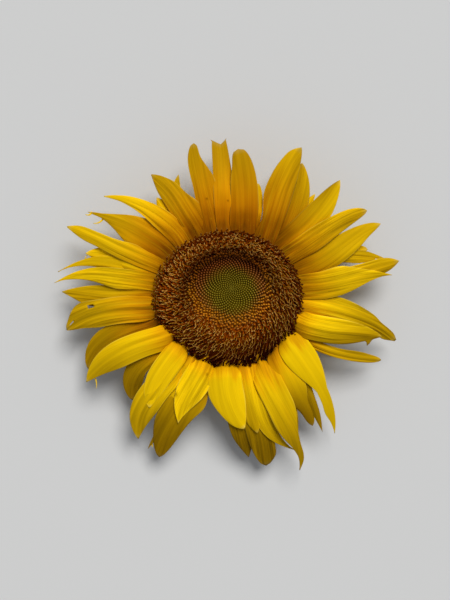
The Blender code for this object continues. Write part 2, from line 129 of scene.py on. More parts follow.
# One row for each ray floret, anticlockwise from the top of the bloom and named by its place: top, left,
# bottom or right. Angles are degrees and sizes millimetres. The layer counts from the front, the brightness
# at the root and at the tip is painted light and shade, and warm is how far amber runs into its yellow (0 to
# 1), partly the petal's own colour and partly painted shade
Petal = namedtuple(
    "Petal",
    "name root_angle tip_angle reach root_bow tip_bow width widest taper layer tip_height fold "
    "root_tone tip_tone warm",
)
PETAL_ROWS = [
    ("T2", 92, 93, 103.45, 0, -0.5, 13, 0.5, 0.06, 0, 24.5, 2, 1.04, 0.5, 0.95),
    ("T1", 104, 102, 104, -0.5, 1, 14, 0.45, 0.45, 1, 34, 2, 0.83, 0.54, 0.95),
    ("L10b", 117.5, 111.3, 87, 2, 4.5, 9, 0.5, 0.8, 2, 31, 1, 0.66, 0.7, 0.8),
    ("L10", 115, 121, 95, -1, -3.5, 18, 0.5, 0.9, 1, 32, 2, 0.69, 0.53, 0.85),
    ("L9b", 125, 124.6, 80.5, 0.5, 0, 13, 0.5, 0.8, 2, 31, 1, 0.75, 0.9, 0.7),
    ("L9", 131, 140, 104, -6, -6, 14, 0.35, 1.7, 0, 31, 2, 0.79, 1.0, 0.65),
    ("L8", 144, 148.2, 106.5, -4, -4.5, 20, 0.4, 1.7, 1, 28, 2, 0.69, 0.65, 0.75),
    ("L7", 156, 155.7, 114, -1, -2, 12, 0.4, 0.85, 0, 30.5, 2, 0.74, 0.79, 0.5),
    ("L6", 160, 162.3, 97, -2, -3, 15, 0.5, 0.8, 1, 31, 1, 0.82, 0.9, 0.4),
    ("L5", 164, 171.3, 112, -4, -8, 10, 0.45, 1.2, 1, 30, 1, 0.7, 0.78, 0.35),
    ("L4", 169, 175.6, 114, -2.5, -6.5, 13, 0.45, 1.4, 0, 27, 2, 0.73, 0.94, 0.35),
    ("L3", 178, 178.7, 109, 0, -0.5, 12, 0.5, 0.9, 1, 26, 1, 0.67, 0.63, 0.45),
    ("L2", 193, 192.6, 109, -4.5, -6.5, 19, 0.65, 0.62, 0, 27, 2, 0.77, 0.65, 0.62),
    ("L1b", 201, 209, 107, -3.5, -9.5, 17, 0.55, 0.7, 2, 22, 1, 0.55, 0.49, 0.6),
    ("L1", 217.5, 212.4, 112, -4, -6.5, 18, 0.5, 0.9, 0, 26, 2, 0.86, 0.73, 0.3),
    ("LB", 227, 229, 98, -4, -8.5, 17, 0.6, 0.7, 2, 22, 1, 0.55, 0.36, 0.5),
    ("BL2a", 225, 235, 91, -1, -3.5, 17, 0.45, 0.8, 0, 36, 2, 0.9, 0.92, 0.25),
    ("BL2b", 231, 239, 117.8, 0, -7, 19, 0.55, 0.9, 1, 24, 2, 1.0, 0.62, 0.3),
    ("BL2c", 240, 242, 89, 0.5, 0, 11, 0.5, 0.8, 1, 33, 1, 0.8, 0.8, 0.3),
    ("BL1", 251, 248.8, 91.5, 1, -2.5, 20, 0.4, 1.2, 0, 36.5, 2, 0.99, 1.16, 0.2),
    ("BL1c", 250, 243.6, 122.5, 0, -0.5, 6, 0.5, 0.9, 2, 20, 1, 0.5, 0.4, 0.2),
    ("BL1b", 251, 248, 124.8, 1, -2.5, 20, 0.5, 0.64, 2, 20, 2, 0.6, 0.3, 0.35),
    ("B3", 267, 277, 90, -2, -3.5, 22, 0.5, 0.75, 0, 36, 2, 0.94, 0.92, 0.15),
    ("B4", 275, 277, 116.6, -1.5, -0.5, 17, 0.5, 0.9, 2, 20, 1, 0.6, 0.28, 0.3),
    ("B3b", 281, 282, 95, -0.5, -0.5, 17, 0.5, 0.9, 1, 35, 1, 1.02, 0.62, 0.33),
    ("B5", 285, 282, 124.6, 0, 1, 19, 0.6, 0.55, 2, 20, 1, 0.6, 0.27, 0.2),
    ("B2", 290, 292.8, 118.6, -1, -8.8, 13, 0.45, 1.3, 1, 24, 1, 0.97, 0.64, 0.3),
    ("B1", 298, 291.55, 133, -1, 6.5, 19, 0.45, 1.8, 0, 24, 2, 0.95, 0.45, 0.25),
    ("B1b", 306, 296, 109, 2, 0.5, 11, 0.5, 1.0, 2, 22, 1, 0.8, 0.5, 0.3),
    ("BR2", 317, 302, 108, -0.5, 1, 18, 0.45, 0.7, 1, 24, 2, 0.95, 0.31, 0.4),
    ("BR2b", 322, 303.5, 116, 3.5, 2, 9, 0.5, 1.1, 2, 22, 1, 0.6, 0.4, 0.3),
    ("BR1", 330, 306.9, 120, 2, 5, 21, 0.25, 5.5, 0, 27, 2, 0.94, 0.76, 0.1),
    ("R8", 332, 335.9, 112, -3, -1.5, 7, 0.7, 0.5, 2, 22, 1, 0.68, 0.58, 0.5),
    ("R7b", 341, 345, 105, -2, 1, 18, 0.45, 0.9, 0, 30, 2, 1.02, 0.48, 0.25),
    ("R7a", 354, 344.35, 115.8, 4, 5.7, 15, 0.45, 1.0, 1, 24, 2, 0.95, 0.5, 0.3),
    ("R6", 9, 7.75, 108, -1, 3.5, 18, 0.3, 1.4, 0, 29, 2, 0.9, 0.79, 0.4),
    ("R5", 14, 12.0, 114.0, -1.5, -0.5, 11, 0.8, 0.9, 2, 28, 1, 0.85, 0.56, 0.5),
    ("R4", 29, 14, 105, 5.5, 2, 8, 0.6, 0.8, 2, 28, 1, 0.72, 0.66, 0.5),
    ("R3b", 21, 19, 96, 2.5, 4, 9, 0.5, 0.45, 2, 28, 1, 0.7, 0.75, 0.6),
    ("R3", 22, 26.5, 110, -3.5, 2.5, 18, 0.5, 0.8, 1, 31, 2, 0.63, 0.71, 0.5),
    ("R2", 36, 33.2, 106.5, 0, 4, 15, 0.5, 0.6, 0, 34, 2, 0.79, 0.63, 0.65),
    ("R1", 44, 47.7, 105.8, -1, -2, 17, 0.5, 0.8, 1, 35, 2, 0.66, 0.72, 0.65),
    ("R1b", 50, 51, 88.5, -0.5, -0.5, 9, 0.5, 0.8, 2, 32, 1, 0.65, 0.8, 0.7),
    ("T4b", 49, 62.3, 101, -3, -3, 18, 0.5, 0.8, 2, 35, 2, 0.49, 0.57, 0.8),
    ("T4a", 57, 65, 109.8, 0.5, 3.5, 19, 0.55, 0.75, 0, 38, 2, 0.64, 0.68, 0.9),
    ("T3b", 67, 75.8, 78, 0, -1, 7, 0.5, 0.5, 2, 32, 1, 0.7, 0.8, 0.8),
    ("T3", 74.5, 86.4, 98.6, -0.5, -2, 18, 0.45, 0.35, 0, 37, 2, 0.8, 0.51, 1.0),
]
PETALS = [Petal(*row) for row in PETAL_ROWS]

# Small lobes and bites of the petals' edges: the side (1 is the anticlockwise edge, -1 the other), the place
# along the petal, the spread along it, and the size in millimetres
EDGE_MARKS = {
    "T2": [(-1, 1.0, 0.28, -1.7), (1, 0.9, 0.4, -0.5), (-1, 0.2, 0.16, 2.0)],
    "T1": [
        (1, 0.55, 0.2, -1.6),
        (-1, 0.6, 0.14, 2.8),
        (-1, 0.88, 0.1, -1.8),
        (1, 0.22, 0.1, 0.8),
        (-1, 0.22, 0.16, 1.8),
        (1, 0.87, 0.12, 0.4),
    ],
    "L10": [
        (1, 0.85, 0.15, 0.9),
        (1, 0.6, 0.2, -0.8),
        (-1, 0.85, 0.1, -0.4),
        (-1, 0.62, 0.1, -1.0),
        (-1, 0.4, 0.14, 3.0),
    ],
    "L9": [(-1, 0.85, 0.15, 1.2), (1, 0.6, 0.2, -0.8)],
    "L8": [(-1, 0.72, 0.2, -1.6), (1, 0.5, 0.22, 2.2)],
    "L7": [(-1, 0.9, 0.1, 1.2), (-1, 0.6, 0.15, -0.8), (-1, 0.42, 0.1, 1.2), (1, 0.85, 0.12, 1.3)],
    "L5": [(1, 0.78, 0.2, -0.8), (-1, 0.8, 0.2, -1.0)],
    "L4": [(-1, 0.75, 0.15, -0.25), (1, 0.72, 0.18, -1.4), (1, 0.42, 0.1, 1.0)],
    "L3": [(1, 0.75, 0.16, 3.0), (-1, 0.6, 0.2, 1.0)],
    "L2": [(-1, 0.78, 0.12, 2.4), (-1, 0.93, 0.05, -0.6), (1, 0.88, 0.15, -2.0)],
    "L1b": [(-1, 0.75, 0.2, 0.2)],
    "L1": [(1, 0.7, 0.2, 0.6)],
    "LB": [(1, 0.55, 0.2, -4.9), (-1, 0.6, 0.2, 0.6)],
    "BL2b": [(-1, 0.75, 0.2, 0.5), (1, 0.5, 0.2, -0.8), (1, 0.3, 0.1, 1.2)],
    "BL1b": [(1, 0.4, 0.11, 3.2), (1, 0.7, 0.2, -1.1), (-1, 0.6, 0.24, 3.6)],
    "B3": [(-1, 0.75, 0.15, -1.2), (-1, 0.42, 0.14, 1.8)],
    "B4": [(-1, 0.75, 0.15, 0.8)],
    "B5": [(1, 0.9, 0.08, 1.8)],
    "B1": [(1, 0.68, 0.17, -4.9), (1, 0.88, 0.09, 1.9), (-1, 0.93, 0.06, -0.8), (-1, 0.65, 0.15, 1.8)],
    "BR2": [(-1, 0.8, 0.12, -2.3), (1, 0.72, 0.15, -3.7)],
    "BR2b": [(1, 0.6, 0.2, -2.0)],
    "BR1": [(1, 0.55, 0.2, 1.2), (-1, 0.8, 0.08, 1.7), (-1, 0.66, 0.1, 0.6)],
    "R8": [(-1, 0.55, 0.25, -0.3), (-1, 0.9, 0.12, 0.5), (1, 0.75, 0.12, 0.8)],
    "R7b": [(-1, 0.88, 0.02, 4.2)],
    "R7a": [(1, 0.8, 0.06, -0.9), (1, 0.95, 0.05, 0.9), (-1, 0.91, 0.09, 3.0), (1, 0.4, 0.2, 2.0)],
    "R6": [(-1, 0.55, 0.3, 1.0), (1, 0.53, 0.13, 2.4)],
    "R4": [(-1, 0.75, 0.1, 0.8), (-1, 0.45, 0.12, 1.0), (1, 0.8, 0.12, 1.2)],
    "R3": [(1, 0.68, 0.15, -1.0), (1, 0.85, 0.12, -0.6), (-1, 0.85, 0.08, -0.4)],
    "R2": [(1, 0.7, 0.2, -1.4)],
    "R1": [(1, 0.65, 0.15, -0.8), (-1, 0.6, 0.2, 0.8)],
    "T4a": [(1, 0.3, 0.16, -3.8), (1, 0.65, 0.15, -0.9), (1, 0.92, 0.06, 0.8)],
    "T3": [(1, 0.2, 0.12, 1.4), (-1, 0.2, 0.1, -0.4), (1, 0.85, 0.12, -1.0)],
}

# Painted light and shade on petals that turn one half to the light: how much brighter they are painted two
# thirds of the way out to the anticlockwise edge, and how much darker as far out to the other
PAINTED_HALF_LIGHT = {
    "L7": -0.06,
    "L6": -0.15,
    "L3": -0.1,
    "L1": -0.1,
    "BL1": -0.1,
    "B3": 0.08,
    "B3b": 0.1,
    "BR2": 0.12,
    "R7b": 0.24,
    "R6": 0.12,
    "R5": 0.2,
    "R2": 0.12,
    "R1": -0.22,
    "T4b": -0.12,
    "T4a": 0.1,
}

# How strong the creases and streaks of a petal are, where they aren't of the usual strength
TEXTURE = {
    "T2": 0.5,
    "T1": 0.7,
    "L8": 0.75,
    "L4": 1.5,
    "L3": 1.25,
    "L2": 1.3,
    "L1": 0.65,
    "BL2a": 0.75,
    "BL1": 1.4,
    "B3": 0.5,
    "B4": 1.3,
    "B5": 1.6,
    "B1": 0.7,
    "BR2": 0.35,
    "BR1": 0.35,
    "R7b": 1.5,
    "R7a": 1.7,
    "R6": 1.4,
    "R3": 0.7,
    "R2": 1.5,
    "R1": 0.75,
    "T3": 0.5,
}

# Notched ends: the place across the petal (-1 to 1), and the notch's depth and the end's width, as shares of
# the petal's length and width
TIP_NOTCHES = {"T2": (-0.05, 0.055, 0.95)}

# Holes through the petals: the place along the petal, across it (-1 to 1), and the radii along and across in
# millimetres
HOLES = {
    "L2": [(0.69, -0.66, 1.5, 0.75), (0.925, -0.38, 1.5, 0.4)],
    "R4": [(0.935, -0.45, 1.0, 0.6)],
}
# Brown specks: the place along the petal, across it and the radius in millimetres
SPECKS = {
    "T2": [(0.408, -0.4, 0.6)],
    "T1": [(0.444, -0.22, 0.7)],
    "BL1": [(0.24, 0.4, 0.8), (0.65, -0.92, 1.6)],
}
# Torn threads: angle and reach of both ends, height, bow and width
THREADS = [
    (146.9, 96.0, 150.6, 100.0, 29.5, 1.2, 1.4),
    (147.4, 104.3, 149.3, 107.0, 28.5, 1.0, 1.5),
    (212.9, 105.5, 216.2, 109.4, 26.0, 0.6, 0.9),
    (165, 96.2, 162.4, 94.6, 29.0, 0.8, 0.6),
    (243.4, 117.5, 244.6, 120.0, 20.5, 0.5, 1.4),
]

# Disc: a little wider than in the part, as its outermost florets reach out over the petals
DISC_HALF_WIDTH = 50.0 * MM
DISC_HALF_DEPTH = 47.5 * MM
DISC_CENTRE = Vector((-0.3, -0.9)) * MM
DISC_FLAT_AT = math.radians(228)
DISC_FLAT_SPREAD = math.radians(26)
DISC_FLAT_DEPTH = 0.06
BED_BASE = 29.0 * MM
BED_RINGS = [0.02, 0.15, 0.3, 0.45, 0.55, 0.65, 0.75, 0.85, 0.92, 0.96, 1.03]
BED_SIDES = 96
BED_DEPTH = (2.2, 5.6)  # under the disc's surface, in the middle and farther out, in mm
GROWTH_CENTRE = Vector((2.0, 7.0)) * MM  # the youngest florets sit off the disc's middle
SPREAD_POWER = 0.64  # above a half, the florets in the middle are the closer ones
# Height of the disc's surface along the way out: (share of the way, millimetres)
DISC_PROFILE = [
    (0.0, 36.0),
    (0.35, 36.0),
    (0.46, 36.8),
    (0.56, 40.2),
    (0.65, 42.0),
    (0.8, 42.0),
    (0.92, 39.6),
    (1.0, 36.0),
    (1.1, 34.5),
]
SLOPE_STEP = 0.02  # share of the way out, to each side, over which its slope is taken
FACE_CEILING = 43.1 * MM  # no floret stands above this
FLORET_COUNT = 2200
RIM_COUNT = 260  # florets low round the rim, darkened with painted shade between the petals' bases
RIM_ARC = (math.radians(207), math.radians(331))
RIM_REACH = (0.97, 1.06)
RIM_HEIGHT = (33.0, 35.5)
# Painted shade of the florets low round the rim
RIM_PAINTED_SHADE = 0.4
RIM_DROP = 2.5  # how much lower the florets stand at the lower rim than at the upper
UNDER_PETALS = 0.85  # from this share of the way out, low petals may cover the florets
# Lengths of an open floret with its anthers, of its tube alone and of a closed bud
FLORET_LENGTH = 8.2 * MM
COROLLA_LENGTH = 4.9 * MM
BUD_LENGTH = 2.55 * MM
BUD_SIZE = (0.62, 1.72)  # in the middle of the disc, and what it would be at the edge
# How far a floret leans out from upright: (share of the way out, degrees)
FLORET_LEAN = [(0.0, 0.0), (0.5, 4.0), (0.6, 18.0), (0.75, 38.0), (0.9, 52.0), (1.0, 62.0), (1.1, 66.0)]
OPENING = (0.09, 0.15)  # the florets this far past the buds show no anthers yet: up the face and down it
FLORET_SIZE = (0.85, 1.1)
FLORET_RISE = (-0.4, 0.9)
LEAN_SPREAD = 9
TURN_SPREAD = 0.32
FLORET_SWIRL = math.radians(-36)  # they lean to the side of straight outwards
FLORET_DRIFT = Vector((-0.14, -0.12))  # and all of them somewhat to one side
STRAND_SHARE = 0.85  # share of the open florets whose anthers stand out


def polar(radius, angle):
    return Vector((radius * math.cos(angle), radius * math.sin(angle)))


def mix(pair, share):
    return pair[0] + (pair[1] - pair[0]) * share


def smooth_step(start, end, value):
    """0 at the start, 1 at the end and smooth between them, whichever is the greater."""
    share = min(max((value - start) / (end - start), 0), 1)
    return share * share * (3 - 2 * share)


def smooth_through(points, at):
    """The height at one place of a smooth curve through (place, height) points."""
    last = len(points) - 2
    span = max(i for i in range(last + 1) if i == 0 or points[i][0] <= at)
    (x0, y0), (x1, y1) = points[span], points[span + 1]

    def slope(i):
        before, after = points[max(i - 1, 0)], points[min(i + 1, last + 1)]
        return (after[1] - before[1]) / (after[0] - before[0])

    width = x1 - x0
    u = (at - x0) / width
    ease = u * u * (3 - 2 * u)
    bend = width * (slope(span) * u * (1 - u) ** 2 - slope(span + 1) * u * u * (1 - u))
    return y0 + (y1 - y0) * ease + bend


class Value:
    """A shader socket that takes part in Python sums."""

    def __init__(self, shader, socket):
        self.shader = shader
        self.socket = socket

    def maths(self, operation, *others):
        return self.shader.node("ShaderNodeMath", {"operation": operation}, dict(enumerate((self, *others))))

    def __add__(self, other):
        return self.maths("ADD", other)

    def __sub__(self, other):
        return self.maths("SUBTRACT", other)

    def __rsub__(self, other):
        return self.shader.node("ShaderNodeMath", {"operation": "SUBTRACT"}, {0: other, 1: self})

    def __mul__(self, other):
        return self.maths("MULTIPLY", other)

    def __pow__(self, other):
        return self.maths("POWER", other)

    def __abs__(self):
        return self.maths("ABSOLUTE")

    def sine(self):
        return self.maths("SINE")

    def between(self, low, high):
        """0 below low, 1 above high and smooth between them."""
        settings = {"interpolation_type": "SMOOTHSTEP"}
        sockets = {"Value": self, "From Min": low, "From Max": high}
        return self.shader.node("ShaderNodeMapRange", settings, sockets)

    __radd__ = __add__
    __rmul__ = __mul__


class Shader:
    """One material, whose nodes are added by name."""

    def __init__(self, name, **fixed):
        self.material = bpy.data.materials.new(name)
        self.material.use_nodes = True
        self.tree = self.material.node_tree
        self.main = self.tree.nodes["Principled BSDF"]
        for socket, value in fixed.items():
            self.main.inputs[socket.replace("_", " ")].default_value = value

    def node(self, kind, settings, sockets, output=0):
        made = self.tree.nodes.new(kind)
        for name, value in settings.items():
            setattr(made, name, value)
        for name, value in sockets.items():
            self.set(made.inputs[name], value)
        return Value(self, made.outputs[output])

    def set(self, socket, value):
        if isinstance(value, Value):
            self.tree.links.new(value.socket, socket)
        elif isinstance(value, tuple) and len(value) == 3 and socket.type == "RGBA":
            socket.default_value = (*value, 1)
        else:
            socket.default_value = value

    def attribute(self, name, output):
        return self.node("ShaderNodeAttribute", {"attribute_name": name}, {}, output)

    def parts(self, vector):
        separate = self.node("ShaderNodeSeparateXYZ", {}, {"Vector": vector}).socket.node
        return [Value(self, output) for output in separate.outputs]

    def scaled(self, vector, factors):
        return self.node("ShaderNodeVectorMath", {"operation": "MULTIPLY"}, {0: vector, 1: factors})

    def noise(self, vector, scale, detail=2, roughness=0.5):
        sockets = {"Vector": vector, "Scale": scale, "Detail": detail, "Roughness": roughness}
        return self.node("ShaderNodeTexNoise", {}, sockets)

    def blend(self, share, first, second, way="MIX"):
        """A mix of two colours: the sockets of a colour Mix node are found by number."""
        settings = {"data_type": "RGBA", "blend_type": way}
        return self.node("ShaderNodeMix", settings, {0: share, 6: first, 7: second}, 2)

    def bump(self, height, distance, strength=1.0):
        sockets = {"Height": height, "Distance": distance, "Strength": strength}
        self.set(self.main.inputs["Normal"], self.node("ShaderNodeBump", {}, sockets))

    def finish(self, colour, roughness=None):
        self.set(self.main.inputs["Base Color"], colour)
        if roughness is not None:
            self.set(self.main.inputs["Roughness"], roughness)
        return self.material


def petal_finish():
    """Golden petals: brown and amber where they leave the disc, the brown partly painted shade, yellow
    towards the tip, streaked and creased, with painted light and shade.

    The petals carry their own notes: blade, millimetres across and along; place, the same from -1 and 0 to 1,
    with the petal's warmth; shade, the share of the way out from the disc, the tone, which is painted light
    and shade with the brown specks, and whether it is the underside; and texture, how strong the creases are.
    """
    shader = Shader("petal", Specular_IOR_Level=0.02)
    blade = shader.attribute("blade", "Vector")
    across, along, warm = shader.parts(shader.attribute("place", "Vector"))
    out, tone, under = shader.parts(shader.attribute("shade", "Vector"))
    texture = shader.attribute("texture", "Fac")
    fine = shader.noise(shader.scaled(blade, (1.9, 0.03, 1)), 1, 3, 0.6)
    broad = shader.noise(shader.scaled(blade, (0.25, 0.03, 1)), 1, 2)
    fleck = shader.noise(shader.scaled(blade, (0.9, 0.5, 1)), 1, 2)
    vein = shader.noise(shader.scaled(blade, (3.4, 0.015, 1)), 1, 2)
    crease = shader.noise(shader.scaled(blade, (0.5, 0.012, 1)), 1, 2).between(0.32, 0.68)
    streak = fine.between(0.42, 0.7) * texture
    reach = out + (fine - 0.5) * 0.16 + (broad - 0.5) * 0.3
    yellow = shader.blend(warm, (1.0, 0.64, 0.002), (1.0, 0.575, 0.002))
    golden = shader.blend(warm, (1.0, 0.55, 0.001), (0.93, 0.30, 0.001))
    colour = shader.blend(reach.between(0.15 * warm, 0.06 + 0.98 * warm), golden, yellow)
    amber = (1 - reach.between(0.0, 0.08 + 0.34 * warm)) * (0.25 + 0.65 * warm)
    colour = shader.blend(amber, colour, (0.52, 0.14, 0.0006))
    # Brown where the petal leaves the disc: partly its own colour, partly painted shade under the disc's edge
    brown = (1 - reach.between(-0.05, 0.1)) * warm.between(0.15, 0.6) * 0.7
    colour = shader.blend(brown, colour, (0.15, 0.035, 0.001))
    colour = shader.blend(streak * 0.25, colour, (0.78, 0.36, 0.001))
    colour = shader.blend(vein.between(0.5, 0.75) * texture * 0.35, colour, (1.0, 0.70, 0.01))
    rim = abs(across).between(0.91, 1.0) * along.between(0.25, 0.5)
    colour = shader.blend(rim * 0.4, colour, (1.0, 0.77, 0.09))
    colour = shader.blend(along.between(0.94, 1.0) * 0.45, colour, (0.9, 0.70, 0.16))
    colour = shader.blend(fleck.between(0.62, 0.8) * 0.2, colour, (1.0, 0.68, 0.004))
    colour = shader.blend(under * 0.4, colour, (0.62, 0.46, 0.015))
    # Painted shade: where the tone is low the petal is made redder as well as darker
    colour = shader.blend((1 - tone).between(0, 1) * 0.3, colour, (0.95, 0.25, 0.0))
    # The tone multiplies in painted light and shade; relief is the petal's own streaky tone together with
    # painted shade of its folds and creases
    relief = 0.56 * broad + 0.26 * crease + 0.2 * vein - 0.51
    colour = shader.blend(1, colour, tone * (0.99 + texture * relief), "MULTIPLY")
    shader.bump(streak * 0.5 + (broad * 0.4 + crease * 0.6 + vein * 0.4) * texture, 0.32 * MM, 0.7)
    return shader.finish(colour, 0.62 + 0.2 * streak)


def finish_floret(shader, colour):
    """The last step of every finish in the disc: painted light and shade by the florets' tone, darker, and
    redder with it, where it is shaded.
    """
    tone = shader.attribute("tone", "Fac")
    colour = shader.blend((1 - tone).between(0, 0.6), colour, (1.0, 0.7, 0.6), "MULTIPLY")
    return shader.finish(shader.blend(1, colour, tone, "MULTIPLY"), 0.75)


def painted_floret_light(share, angle):
    """Painted light and shade on the florets: darkest high in the bowl and along the lower rim, lit low in
    the bowl.
    """
    up = math.sin(angle - math.radians(8))
    bowl = math.exp(-(((share - 0.6) / 0.13) ** 2))
    shade = math.exp(-(((share - 0.6) / (0.3 if share < 0.6 else 0.13)) ** 2))
    shaded = 0.65 * shade * smooth_step(0.0, 0.85, up)
    lit = 0.8 * bowl * smooth_step(0.1, -0.6, up)
    turned = 0.72 * math.sin(angle) - 0.48 * math.cos(angle) + 0.19 * math.cos(2 * angle)
    ring = smooth_step(0.65, 0.8, share) * (0.42 + 0.9 * turned)
    high_rim = 0.9 * smooth_step(0.89, 1, share)
    low_rim = 0.3 * smooth_step(0.86, 0.95, share)
    return 1 - shaded + lit + ring - mix((high_rim, low_rim), smooth_step(0.2, -0.5, up))


def floret_finish():
    """Dark maroon tubes, orange-brown at the lobes of the florets that have just opened."""
    shader = Shader("floret_tubes", Specular_IOR_Level=0.03)
    height, age, chance = shader.parts(shader.attribute("floret", "Vector"))
    young = 1 - age.between(0.07, 0.2)
    lobes = shader.blend(young, (0.235, 0.055, 0.0005), (0.57, 0.235, 0.013))
    throat = shader.blend(young, (0.165, 0.027, 0.0003), (0.44, 0.13, 0.003))
    colour = shader.blend(height.between(0.75, 1.0), throat, lobes)
    colour = shader.blend(chance * 0.5, colour, throat)
    pale = height.between(0.93, 1.0) * young * chance.between(0.35, 0.6)
    return finish_floret(shader, shader.blend(pale * 0.8, colour, (0.84, 0.48, 0.13)))


def strand_finish():
    """Anthers from red-brown to tan, with golden pollen at their ends."""
    shader = Shader("anthers", Specular_IOR_Level=0.02)
    height, _, chance = shader.parts(shader.attribute("floret", "Vector"))
    low = shader.blend(chance, (0.19, 0.042, 0.0004), (0.26, 0.085, 0.001))
    tan = shader.blend(chance.between(0.2, 1.0), (0.27, 0.116, 0.003), (0.46, 0.24, 0.038))
    colour = shader.blend(height.between(0.55, 0.85), low, tan)
    pollen = height.between(0.9, 1) * (0.3 + 0.5 * chance)
    return finish_floret(shader, shader.blend(pollen, colour, (0.56, 0.32, 0.095)))


def bud_finish():
    """Closed buds: olive green in the middle of the disc, turning orange-brown before they open."""
    shader = Shader("disc_buds", Specular_IOR_Level=0.03)
    height, age, chance = shader.parts(shader.attribute("floret", "Vector"))
    ripe = (age + chance * 0.12).between(0.58, 1.05)
    base = shader.blend(ripe, (0.158, 0.106, 0.001), (0.27, 0.07, 0.0005))
    tip = shader.blend(ripe, (0.335, 0.262, 0.024), (0.41, 0.17, 0.048))
    colour = shader.blend(height.between(0.66, 0.98), base, tip)
    return finish_floret(shader, shader.blend(chance * 0.3, colour, base))


def bed_finish():
    """The ground between the florets: olive under the green buds and dark brown elsewhere."""
    shader = Shader("disc_bed", Specular_IOR_Level=0.0)
    place = shader.node("ShaderNodeTexCoord", {}, {}, "Object")
    grain = shader.noise(place, 900, 3)
    brown = shader.blend(grain, (0.13, 0.022, 0.0003), (0.21, 0.042, 0.0005))
    olive = shader.blend(grain, (0.12, 0.07, 0.0008), (0.17, 0.10, 0.002))
    shader.bump(grain, 0.6 * MM)
    return finish_floret(shader, shader.blend(shader.attribute("green", "Fac"), brown, olive))


def green_finish():
    """Bracts and the back of the head: matt green with paler veins and a downy bloom."""
    shader = Shader("green_flesh", Specular_IOR_Level=0.3, Sheen_Weight=0.25, Sheen_Roughness=0.5)
    place = shader.node("ShaderNodeTexCoord", {}, {}, "Object")
    blade = shader.attribute("blade", "Vector")
    across, along, cut = shader.parts(shader.attribute("place", "Vector"))
    streak = shader.noise(shader.scaled(blade, (1.6, 0.12, 1)), 1, 3)
    mottle = shader.noise(place, 140, 4)
    vein = (across * 17).sine() * 0.5 + 0.5
    colour = shader.blend(streak * 0.6 + mottle * 0.4, (0.075, 0.15, 0.028), (0.17, 0.25, 0.055))
    colour = shader.blend((vein ** 6) * 0.35, colour, (0.30, 0.38, 0.13))
    colour = shader.blend((1 - abs(across).between(0.0, 0.1)) * 0.4, colour, (0.34, 0.42, 0.16))
    colour = shader.blend(abs(across).between(0.8, 1) * 0.4, colour, (0.33, 0.36, 0.12))
    colour = shader.blend(along.between(0.85, 1) * 0.5, colour, (0.22, 0.13, 0.05))
    x, y, _ = shader.parts(place)
    radius = (x * x + y * y) ** 0.5
    pith = shader.blend(mottle, (0.62, 0.58, 0.38), (0.50, 0.47, 0.27))
    pith = shader.blend(radius.between(7 * MM, 8 * MM), pith, (0.33, 0.38, 0.13))
    colour = shader.blend(cut, colour, pith)
    shader.bump(streak * 0.6 + vein * 0.2 + mottle * 0.5, 0.3 * MM, 0.8)
    return shader.finish(colour, 0.62 + 0.2 * mottle)


def plain_finish(name, colour, roughness):
    return Shader(name).finish(colour, roughness)


def new_piece(name, points, faces, edges=()):
    """An object of given points, edges and faces, which is then the active one."""
    mesh = bpy.data.meshes.new(name)
    mesh.from_pydata(points, edges, faces)
    piece = bpy.data.objects.new(name, mesh)
    bpy.context.scene.collection.objects.link(piece)
    bpy.ops.object.select_all(action="DESELECT")
    piece.select_set(True)
    bpy.context.view_layer.objects.active = piece
    return piece


def join(name, pieces, finish=None):
    """One object of several, with its place in its mesh, in one finish."""
    bpy.ops.object.select_all(action="DESELECT")
    for piece in pieces:
        piece.select_set(True)
    bpy.context.view_layer.objects.active = pieces[0]
    if len(pieces) > 1:
        bpy.ops.object.join()
    piece = bpy.context.view_layer.objects.active
    piece.name = piece.data.name = name
    bpy.ops.object.transform_apply(location=True, rotation=True, scale=True)
    if finish:
        piece.data.materials.clear()
        piece.data.materials.append(finish)
    return piece


def write_attribute(mesh, name, kind, values):
    layer = mesh.attributes.new(name, kind, "POINT")
    field = "vector" if kind == "FLOAT_VECTOR" else "value"
    layer.data.foreach_set(field, np.asarray(values, np.float32).ravel())


def vertex_places(mesh):
    """The points of a mesh, one row each."""
    places = np.zeros(len(mesh.vertices) * 3, np.float32)
    mesh.vertices.foreach_get("co", places)
    return places.reshape(-1, 3)


def shaped_sheet(columns, stations, shape, thickness, holes=()):
    """A grid bent to shape(t, s), which gives a point and its blade, place and shade notes, and thickened.

    A hole is its place t, s and its radii in the same measure.
    """
    bpy.ops.object.select_all(action="DESELECT")
    bpy.ops.mesh.primitive_grid_add(x_subdivisions=columns, y_subdivisions=stations, size=2)
    sheet = bpy.context.object
    flat = vertex_places(sheet.data)
    shaped = [shape((float(y) + 1) / 2, float(x)) for x, y, _ in flat]
    sheet.data.vertices.foreach_set("co", np.array([each[0] for each in shaped], np.float32).ravel())
    for name, values in zip(("blade", "place", "shade"), list(zip(*shaped))[1:]):
        write_attribute(sheet.data, name, "FLOAT_VECTOR", values)
    for at, across, long, wide in holes:
        cut = [((y + 1) / 2 - at) ** 2 / long**2 + (x - across) ** 2 / wide**2 < 1 for x, y, _ in flat]
        pierce(sheet, cut)
        flat = [place for place, gone in zip(flat, cut) if not gone]
    wall = sheet.modifiers.new("thickness", "SOLIDIFY")
    wall.thickness = thickness
    wall.offset = 0
    bpy.ops.object.modifier_apply(modifier=wall.name)
    bpy.ops.object.shade_smooth()
    mark_underside(sheet, len(flat))
    return sheet


def pierce(sheet, cut):
    """The points marked in cut are taken out of a sheet with the faces round them."""
    mesh = sheet.data
    for each in (mesh.polygons, mesh.edges):
        each.foreach_set("select", [False] * len(each))
    mesh.vertices.foreach_set("select", cut)
    bpy.ops.object.mode_set(mode="EDIT")
    bpy.ops.mesh.delete(type="VERT")
    bpy.ops.object.mode_set(mode="OBJECT")


